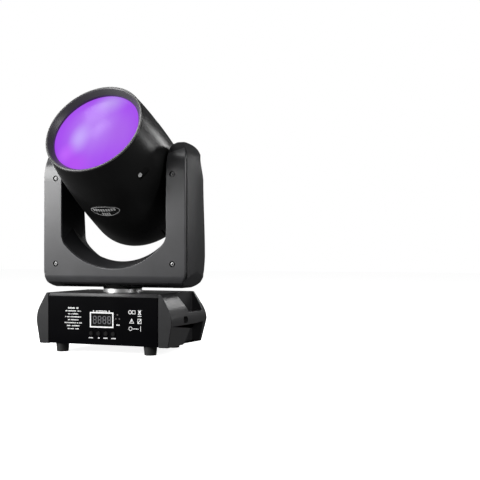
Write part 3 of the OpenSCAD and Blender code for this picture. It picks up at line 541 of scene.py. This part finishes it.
def bent(place):
    """Place on the yoke, bent to the arms' curves: the rear is fuller low down, the front slimmer on top."""
    height = place.z / MM
    depth = place.y / MM
    outward = max(abs(place.x) / MM - ARM_INNER, 0) / ARM_THICKNESS
    under, above = (BULGE_HIGH - height) / BULGE_HIGH_EASE, (height - BULGE_LOW) / BULGE_LOW_EASE
    bulge = BULGE_SHARE * smooth(min(under, above))
    taper = min(max(height - TAPER_START, 0) / TAPER_RISE, 1)
    forward = smooth(0.5 - depth / FRONT_BLEND)
    shoulder = math.sin(math.pi * taper ** SHOULDER_SKEW)
    narrowing = FRONT_NARROWING * taper ** 2 * forward + SHOULDER_NARROWING * shoulder * (1 - forward)
    x = place.x - math.copysign(narrowing * outward * MM, place.x)
    y = place.y * (1 + bulge - SHOULDER_SHARE * shoulder if depth > 0 else 1 - FRONT_SHARE * taper ** 2)
    return Vector((x, y, place.z))


NORMAL_STEP = 0.2
# Heights at which the pieces are cut across before they bend
BAND_CUTS = range(118, 344, 8)


def bent_normal(place, normal):
    """Surface normal at a place once bent() has moved its surroundings."""
    along = normal.orthogonal().normalized()
    across = normal.cross(along)
    step = NORMAL_STEP * MM
    moved = [bent(place + way * step) - bent(place - way * step) for way in (along, across)]
    return moved[0].cross(moved[1]).normalized()


def cut_in_bands(mesh):
    """Cut a yoke piece across at even heights, so that it can bend."""
    work = bmesh.new()
    work.from_mesh(mesh)
    for height in BAND_CUTS:
        everything = work.verts[:] + work.edges[:] + work.faces[:]
        bmesh.ops.bisect_plane(work, geom=everything, plane_co=(0, 0, height * MM), plane_no=(0, 0, 1))
    work.to_mesh(mesh)
    work.free()


def lean_mesh(mesh):
    """Bend a yoke piece to the curves of the arms."""
    corner = [n.vector.copy() for n in mesh.corner_normals]
    for loop in mesh.loops:
        corner[loop.index] = bent_normal(mesh.vertices[loop.vertex_index].co, corner[loop.index])
    for vertex in mesh.vertices:
        vertex.co = bent(vertex.co)
    mesh.normals_split_custom_set(corner)


# Edges sharper than a crease are rounded, once near-flat ones are dissolved and doubled corners welded
CREASE_ANGLE = math.radians(32)
FLAT_ANGLE = math.radians(0.6)
WELD = 0.002


def softened(node, width, share=None):
    """Copy of a CAD node whose sharp edges are rounded by width millimetres, or by a share of it."""
    source = NODES[node]
    mesh = bpy.data.meshes.new(node + "_work")
    work = bmesh.new()
    work.from_mesh(source.data)
    bmesh.ops.remove_doubles(work, verts=work.verts, dist=WELD * MM)
    bmesh.ops.dissolve_limit(work, angle_limit=FLAT_ANGLE, verts=work.verts, edges=work.edges)
    weights = work.edges.layers.float.new("bevel_weight_edge")
    for edge in work.edges:
        if len(edge.link_faces) == 2 and edge.calc_face_angle() > CREASE_ANGLE:
            middle = (edge.verts[0].co + edge.verts[1].co) / 2 / MM
            edge[weights] = share(middle) if share else 1
    work.to_mesh(mesh)
    work.free()
    stand_in = bpy.data.objects.new(node + "_work", mesh)
    mesh.materials.clear()
    mesh.materials.append(None)
    mesh.materials.append(None)
    for face in mesh.polygons:
        face.material_index = 0
    bpy.context.scene.collection.objects.link(stand_in)
    modifier = stand_in.modifiers.new("round", "BEVEL")
    modifier.limit_method = "WEIGHT"
    modifier.width = width * MM
    modifier.segments = 3 if width > 1.5 else 1
    modifier.material = 1
    modifier.use_clamp_overlap = False
    evaluated = stand_in.evaluated_get(bpy.context.evaluated_depsgraph_get())
    shaped = bpy.data.meshes.new_from_object(evaluated)
    shaped.name = node + "_soft"
    bpy.data.objects.remove(stand_in)
    if node in LEANING:
        cut_in_bands(shaped)
    rounded = {face.index for face in shaped.polygons if face.material_index == 1}
    for face in shaped.polygons:
        face.material_index = 0
    edge_normals(shaped, source, rounded)
    if node in LEANING:
        lean_mesh(shaped)
    slot = SLOTS[node]
    finish = MATERIALS[OWN_FINISH.get(node, slot)]
    return add_piece(node + "_soft", shaped, source["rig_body"], finish, [node], slot)


# Yoke cover screws, and the reach of their pockets, in millimetres
SCREW_X = 109.6
SCREW_HEIGHTS = (145.4, 290.6)
POCKET_REACH = 6
# Outer edges of a yoke cover lie beyond this width, below this height and beyond this depth
COVER_SIDE = 113
COVER_BOTTOM = 113
COVER_FACE = 35


def cover_share(place):
    """Outer edge of a yoke cover takes the full rounding, its window a third, its screw pockets less."""
    outer = abs(place.x) > COVER_SIDE or place.z < COVER_BOTTOM
    if any(math.hypot(abs(place.x) - SCREW_X, place.z - z) < POCKET_REACH for z in SCREW_HEIGHTS):
        return 0.12
    return 1.0 if outer and abs(place.y) > COVER_FACE else 0.33


# Handle screw slot of a side cap: its middle and half its size in depth and in height
CAP_SLOT = (-16.5, 55)
CAP_SLOT_HALF = (12, 10)


def cap_share(place):
    """The handle's screw slot keeps its crisp rim."""
    off_y, off_z = abs(place.y - CAP_SLOT[0]), abs(place.z - CAP_SLOT[1])
    return 0 if off_y < CAP_SLOT_HALF[0] and off_z < CAP_SLOT_HALF[1] else 1


# Nodes whose finish here isn't the one of their slot; the barrel screws' white finish is a painted glint
OWN_FINISH = {"top_cover": "cap_black", "head_screws": "screw_painted_glint"}


def finish_cad_nodes():
    """Carried-over CAD nodes take the finish of their own slot, or one of their own."""
    for node, thing in NODES.items():
        material = MATERIALS[OWN_FINISH.get(node, SLOTS[node])]
        for index in range(len(thing.data.materials)):
            thing.data.materials[index] = material
        if not thing.data.materials:
            thing.data.materials.append(material)


# Nodes whose edges are rounded all over, and by how many millimetres
SOFT_EDGES = {
    "top_cover": 0.8, "front_panel": 0.4, "rear_panel": 0.4, "arm_shell_left": 1.0, "arm_shell_right": 1.0,
    "pan_shaft": 0.15, "foot_front_left": 0.6, "foot_front_right": 0.6, "foot_rear_left": 0.6,
    "foot_rear_right": 0.6, "display_frame": 0.15, "yoke_frame": 0.2,
}
COVER_ROUNDING = 3.0
CAP_ROUNDING = 1.2

# The shaft's flange inside the yoke, in millimetres: its lowest level, and the depth it is trimmed to here
FLANGE_Z = 108.5
FLANGE_Y = 26.5


def trim_flange(piece):
    """Keep the shaft's flange clear of the slots that the yoke's hollow leaves in its rounded underside."""
    for vertex in piece.data.vertices:
        if vertex.co.z > FLANGE_Z * MM and abs(vertex.co.y) > FLANGE_Y * MM:
            vertex.co.y = math.copysign(FLANGE_Y * MM, vertex.co.y)


def make_softened():
    for node, width in SOFT_EDGES.items():
        piece = softened(node, width)
        if node == "pan_shaft":
            trim_flange(piece)
    for node in ("yoke_front_cover", "yoke_rear_cover"):
        softened(node, COVER_ROUNDING, share=cover_share)
    for node in ("cap_left", "cap_right"):
        softened(node, CAP_ROUNDING, share=cap_share)


# ---------------------------------------------------------------- lens
# Radius of the curved face, radius of the edge, level of the flat back and bevel, in millimetres
LENS_CURVE = 300
LENS_EDGE = 77.2
LENS_BACK = 93.2
LENS_BEVEL = 0.6
CROWN_STEPS = 32


def make_lens():
    """Thick plano-convex glass with a ground edge."""
    profile = []
    for k in range(CROWN_STEPS + 1):
        radius = LENS_EDGE * k / CROWN_STEPS
        profile.append((radius, math.sqrt(LENS_CURVE ** 2 - radius ** 2) - LENS_CURVE))
    back = LENS_BACK - LENS_APEX
    profile += [(LENS_EDGE, back + LENS_BEVEL), (LENS_EDGE - LENS_BEVEL, back), (0, back)]
    mesh = revolved("lens", profile)
    add_piece("lens", mesh, "head", MATERIALS["lens_glass"], ["front_lens"], "lens_glass", LENS_FRAME)


def fillet(before, corner, after, radius, count=5):
    """Points that round a corner of a profile."""
    a, b, c = Vector(before), Vector(corner), Vector(after)
    start = b + (a - b).normalized() * radius
    end = b + (c - b).normalized() * radius
    points = []
    for k in range(count + 1):
        t = k / count
        points.append(tuple(start * (1 - t) ** 2 + b * 2 * t * (1 - t) + end * t ** 2))
    return points


def rounded_profile(corners):
    """Profile whose corners, given as (radius, height, rounding), are rounded."""
    points = []
    for k, (r, z, soft) in enumerate(corners):
        before, after = corners[k - 1], corners[(k + 1) % len(corners)]
        if soft:
            points += fillet(before[:2], (r, z), after[:2], soft)
        else:
            points.append((r, z))
    return points


# Profiles of the bezel's cone and of its lip: radius, height and rounding of each corner
RING_CONE = [
    (77.4, 93, 0.3), (81.4, 93, 0.3), (81.4, 110.1, 0), (82.2, 110.1, 0), (82.2, 111.7, 0),
    (80.4, 111.7, 0.3), (74.5, 104, 0.5), (74.5, 100, 0), (77.4, 100, 0),
]
RING_LIP = [
    (80.5, 111.6, 0), (80.5, 112.1, 0.2), (82.5, 112.95, 0.5), (83.6, 112.95, 0.4), (84.5, 112.1, 0.5),
    (84.5, 110.6, 0.4), (83.9, 110.1, 0.2), (82.3, 110.1, 0), (82.3, 111.6, 0),
]
RING_STEPS = 256


def make_ring():
    """Lens bezel: black cone down to the glass, and a smooth rolled lip round it, lighter grey as a painted
    highlight line.
    """
    mesh = revolved("ring_cone", rounded_profile(RING_CONE), RING_STEPS)
    add_piece("ring_cone", mesh, "head", MATERIALS["ring_black"], ["front_ring"], "head_black", HEAD_FRAME)
    mesh = revolved("ring_lip", rounded_profile(RING_LIP), RING_STEPS)
    add_piece("ring_lip", mesh, "head", MATERIALS["rim_painted_highlight"], slot="head_black", place=HEAD_FRAME)


# ---------------------------------------------------------------- screws
def hexagon(angle):
    """How far a hexagon of unit flats reaches at an angle."""
    return 1 / math.cos((angle % (math.pi / 3)) - math.pi / 6)


def loft(work, place, outline, closed=False, count=48):
    """Skin through rings given as (radius, height, faceted), capped at both ends unless closed on itself."""
    rings = []
    for radius, height, faceted in outline:
        ring = []
        for k in range(count):
            a = 2 * math.pi * k / count
            reach = radius * (hexagon(a) if faceted else 1)
            ring.append(work.verts.new(place @ on_circle(reach, a, height)))
        rings.append(ring)
    pairs = list(zip(rings, rings[1:]))
    if closed:
        pairs.append((rings[-1], rings[0]))
    else:
        work.faces.new(rings[-1])
        work.faces.new(rings[0][::-1])
    for low, high in pairs:
        for k in range(count):
            n = (k + 1) % count
            work.faces.new([low[k], low[n], high[n], high[k]])


# Button-head screw with a hex socket, and black in the pocket that it sits in and on the socket's floor,
# painted shade in these recesses
SCREW_HEAD = [(3.0, 0, 0), (3.0, 0.9, 0), (2.7, 1.5, 0), (2.1, 1.75, 0), (1.3, 1.75, 1), (1.3, 0.4, 1)]
SCREW_WELL_SHADE = [
    (2.9, -0.4, 0), (4.68, -0.4, 0), (4.68, 2.2, 0), (5.0, 2.36, 0),
    (5.0, 2.46, 0), (4.5, 2.46, 0), (4.3, -0.2, 0), (2.9, -0.2, 0),
]
SOCKET_SHADE = [(1.28, 0.42, 1), (1.28, 0.46, 1)]
SCREW_RISE = 1.9


def screw_places():
    """Frames on the pocket floors of both yoke covers, Z out of the surface."""
    low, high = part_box("yoke_screws")
    for front in (-1, 1):
        for side in (-1, 1):
            for z in SCREW_HEIGHTS:
                depth = high.y - SCREW_RISE * MM if front > 0 else low.y + SCREW_RISE * MM
                turn = Matrix.Rotation(math.radians(-90 * front), 4, "X")
                spin = Matrix.Rotation(random.uniform(0, 1), 4, "Z")
                yield Matrix.Translation((side * SCREW_X * MM, depth, z * MM)) @ turn @ spin


def make_yoke_screws():
    heads, well_shade = bmesh.new(), bmesh.new()
    for place in screw_places():
        loft(heads, place, SCREW_HEAD)
        loft(well_shade, place, SCREW_WELL_SHADE, closed=True)
        loft(well_shade, place, SOCKET_SHADE)
    mesh = finished_mesh(heads, "yoke_screw_heads")
    mesh.set_sharp_from_angle(angle=SHARP_ANGLE)
    lean_mesh(mesh)
    add_piece("yoke_screw_heads", mesh, "yoke", MATERIALS["screw_steel"], ["yoke_screws"], "screw_steel")
    # Black pocket linings and socket floors: painted shade in the recesses
    mesh = finished_mesh(well_shade, "yoke_screw_well_shade")
    lean_mesh(mesh)
    add_piece("yoke_screw_well_shade", mesh, "yoke", MATERIALS["panel_black"], slot="chassis_black")


# Black ring on the bright collar that reflects nothing, painted shadow under the yoke; its inner rim reaches
# up to the yoke's underside, flat and then rounded
COLLAR_SHADOW = [(27.95, 103.9), (32.8, 103.9), (32.8, 106.02), (29.5, 106.02), (29.5, 106.05), (27.95, 106.05)]
COLLAR_SHADOW_RIM = 106.04
UNDERSIDE_FLAT = 16.5
UNDERSIDE_ROUND = 20


def make_collar_shadow():
    mesh = revolved("collar_shadow", COLLAR_SHADOW)
    for vertex in mesh.vertices:
        past_flat = max(abs(vertex.co.y) / MM - UNDERSIDE_FLAT, 0)
        if vertex.co.z > COLLAR_SHADOW_RIM * MM:
            vertex.co.z += (UNDERSIDE_ROUND - math.sqrt(UNDERSIDE_ROUND ** 2 - past_flat ** 2)) * MM
    add_piece("collar_shadow", mesh, "yoke", MATERIALS["painted_shadow_black"], slot="chassis_black")


# Cross-section (depth, height) of the black that closes the slots in the yoke's underside beside the shaft,
# painted shade over them
SLOT_SHADOW = [(27.1, 109.2), (28.3, 110.0), (29.4, 110.9), (29.4, 112), (27.1, 112)]
SLOT_SHADOW_HALF = 30


def make_slot_shadow():
    work = bmesh.new()
    for side in (-1, 1):
        ends = []
        for x in (-SLOT_SHADOW_HALF, SLOT_SHADOW_HALF):
            ends.append([work.verts.new((x * MM, side * y * MM, z * MM)) for y, z in SLOT_SHADOW])
        plate(work, *ends)
    mesh = finished_mesh(work, "yoke_slot_shadow")
    add_piece("yoke_slot_shadow", mesh, "yoke", MATERIALS["painted_shadow_black"], slot="chassis_black")


# ---------------------------------------------------------------- printed marks
# Height of the printed ink over its surface, and how far it sinks in, in millimetres
PRINT_LIFT = 0.12
PRINT_SINK = 0.02
BADGE_LIFT = 0.14
BADGE_SINK = 0.05


def ribbon(work, points, thick, closed=True):
    """Flat line of even thickness through points (x, z) in millimetres, printed on the panel."""
    pairs = list(zip(points, points[1:] + points[:1])) if closed else list(zip(points, points[1:]))
    for (x0, z0), (x1, z1) in pairs:
        along = Vector((x1 - x0, z1 - z0)).normalized() * thick / 2
        side = Vector((-along.y, along.x))
        ends = [(x0 - along.x, z0 - along.y), (x1 + along.x, z1 + along.y)]
        slab(work, [(ends[0][0] + side.x, ends[0][1] + side.y), (ends[1][0] + side.x, ends[1][1] + side.y),
                    (ends[1][0] - side.x, ends[1][1] - side.y), (ends[0][0] - side.x, ends[0][1] - side.y)])


def slab(work, outline):
    """Thin upright plate of printed ink just in front of the panel."""
    front = [work.verts.new((x * MM, PANEL_Y - PRINT_LIFT * MM, z * MM)) for x, z in outline]
    back = [work.verts.new((x * MM, PANEL_Y + PRINT_SINK * MM, z * MM)) for x, z in outline]
    plate(work, front, back)


def dashes(work, left, right, z, height, pitch=1.35):
    """Row of blank letter blocks, broken here and there as words are."""
    count = max(1, round((right - left) / pitch))
    step = (right - left) / count
    for k in range(count):
        if count > 6 and random.random() < 0.14 and 0 < k < count - 1:
            continue
        x = left + k * step
        tall = height * random.choice([0.8, 1.0, 1.0])
        wide = step * random.uniform(0.6, 0.78)
        low = z - height / 2
        slab(work, [(x, low), (x + wide, low), (x + wide, low + tall), (x, low + tall)])


def arc(x, z, radius, start, end, count=20):
    turns = [math.radians(start + (end - start) * k / count) for k in range(count + 1)]
    return [(x + radius * math.cos(t), z + radius * math.sin(t)) for t in turns]


# Printed on the panel, in millimetres. Text block: its middle, top line, pitch and the width of each line.
TEXT_MIDDLE = -53.2
TEXT_TOP = 73.3
TEXT_PITCH = 4.85
TEXT_WIDTHS = (20, 30, 19, 30, 20, 32.8, 24, 21)
TEXT_HEIGHT = 1.7
TITLE_HEIGHT = 2.4
# Words over the display, by the microphone, under the four buttons and in the last sign: left and right end,
# level on the panel, height and pitch of the letter blocks
LABELS = [
    (-16, 15.5, 69.4, 1.9, 2.6),
    (27, 33.5, 47.5, 1.9, 2.1),
    (-23.8, -15.8, 25.7, 1.9, 1.6),
    (-6.7, -3.1, 25.7, 1.9, 1.6),
    (3.3, 11.3, 25.7, 1.9, 1.6),
    (17.4, 26.4, 25.7, 1.9, 1.6),
    (57, 68, 42.4, 1.6, 2.6),
]
# Plain signs, each a line through points: points, thickness, closed or not
SIGNS = [
    (arc(51.8, 68.8, 2.7, 0, 342), 0.8, True),
    ([(55.6, 66.3), (61.0, 66.3), (61.0, 71.3), (55.6, 71.3)], 0.8, True),
    ([(66.4, 72.0), (71.2, 65.6)], 0.9, False),
    ([(71.2, 72.0), (66.4, 65.6)], 0.9, False),
    ([(67.2, 71), (70.4, 71), (69.8, 65), (67.8, 65)], 0.7, True),
    ([(66.0, 62.6), (71.6, 62.6)], 1.0, False),
    ([(51, 51.4), (58.4, 51.4), (54.7, 58.2)], 0.8, True),
    ([(54.7, 53.2), (54.7, 55.6)], 0.8, False),
    ([(65.6, 51.2), (71.6, 51.2), (71.6, 58.2), (65.6, 58.2)], 0.8, True),
    ([(66.4, 52.2), (70.8, 57.2)], 1.0, False),
    (arc(52.6, 42.6, 2.9, 0, 342), 0.7, True),
    ([(70.6, 39), (70.6, 46.4)], 0.8, False),
]


def make_panel_print():
    work = bmesh.new()
    for row, width in enumerate(TEXT_WIDTHS):
        tall = TEXT_HEIGHT if row else TITLE_HEIGHT
        dashes(work, TEXT_MIDDLE - width / 2, TEXT_MIDDLE + width / 2, TEXT_TOP - row * TEXT_PITCH, tall)
    for label in LABELS:
        dashes(work, *label)
    for points, thick, closed in SIGNS:
        ribbon(work, points, thick, closed)
    mesh = finished_mesh(work, "panel_print")
    add_piece("panel_print", mesh, "base", MATERIALS["white_print"], slot="white_print")


def on_head(x, s, lift):
    """Place on the lower front of the barrel, lifted off it, from head-frame millimetres."""
    start = HEAD_FRAME @ Vector((x * MM, -0.2, s * MM))
    way = (HEAD_FRAME.to_3x3() @ Vector((0, 1, 0))).normalized()
    for tree in HEAD_TREES:
        place = tree.ray_cast(start, way)[0]
        if place:
            return place - way * lift * MM
    return start


def head_plate(work, outline):
    """Thin printed plate laid on the barrel; the outline is in head-frame millimetres."""
    front = [work.verts.new(on_head(x, s, BADGE_LIFT)) for x, s in outline]
    back = [work.verts.new(on_head(x, s, -BADGE_SINK)) for x, s in outline]
    plate(work, front, back)


# Oval of the badge in head-frame millimetres: its middle, half sizes, line and steps
BADGE_MIDDLE = 15
BADGE_HALF = (26.2, 12.2)
BADGE_LINE = 0.9
BADGE_STEPS = 72
# Rows of letter blocks in it: middle of the row, half length and number of blocks
BADGE_ROWS = ((18.0, 21, 9), (8.0, 8, 4))
LETTER_HALF = 3
LETTER_MARGIN = 0.5
LETTER_GAP = 1.6


def make_badge_print():
    work = bmesh.new()
    for k in range(BADGE_STEPS):
        a, b = 2 * math.pi * k / BADGE_STEPS, 2 * math.pi * (k + 1) / BADGE_STEPS
        ring = []
        for turn, inset in ((a, 0), (b, 0), (b, BADGE_LINE), (a, BADGE_LINE)):
            x = (BADGE_HALF[0] - inset) * math.cos(turn)
            ring.append((x, BADGE_MIDDLE + (BADGE_HALF[1] - inset) * math.sin(turn)))
        head_plate(work, ring)
    for s, reach, letters in BADGE_ROWS:
        step = 2 * reach / letters
        low, high = s - LETTER_HALF, s + LETTER_HALF
        for k in range(letters):
            left = k * step - reach + LETTER_MARGIN
            right = left + step - LETTER_GAP
            head_plate(work, [(left, low), (right, low), (right, high), (left, high)])
    mesh = finished_mesh(work, "badge_print")
    add_piece("badge_print", mesh, "head", MATERIALS["badge_print"], slot="white_print")


def node_tree_of(node):
    mesh = NODES[node].data
    return BVHTree.FromPolygons([v.co for v in mesh.vertices], [tuple(p.vertices) for p in mesh.polygons])


# ---------------------------------------------------------------- the scene
make_camera()
random.seed(SEED)
MATERIALS = make_materials()
make_world(light=WORLD_LIGHT, seen=WORLD_SEEN)
make_floor()
for lamp_row in LAMPS:
    softbox(*lamp_row)
for finish, height, rise in MATTE_TOPS:
    matte_above(MATERIALS[finish], height, rise, MATTE_ROUGHNESS)
finish_cad_nodes()
make_softened()
make_yoke_screws()
make_collar_shadow()
make_slot_shadow()
make_ring()
make_lens()
make_panel_print()
HEAD_TREES = [node_tree_of("badge"), node_tree_of("head_barrel")]
make_badge_print()
bpy.context.scene.view_settings.view_transform = "Standard"
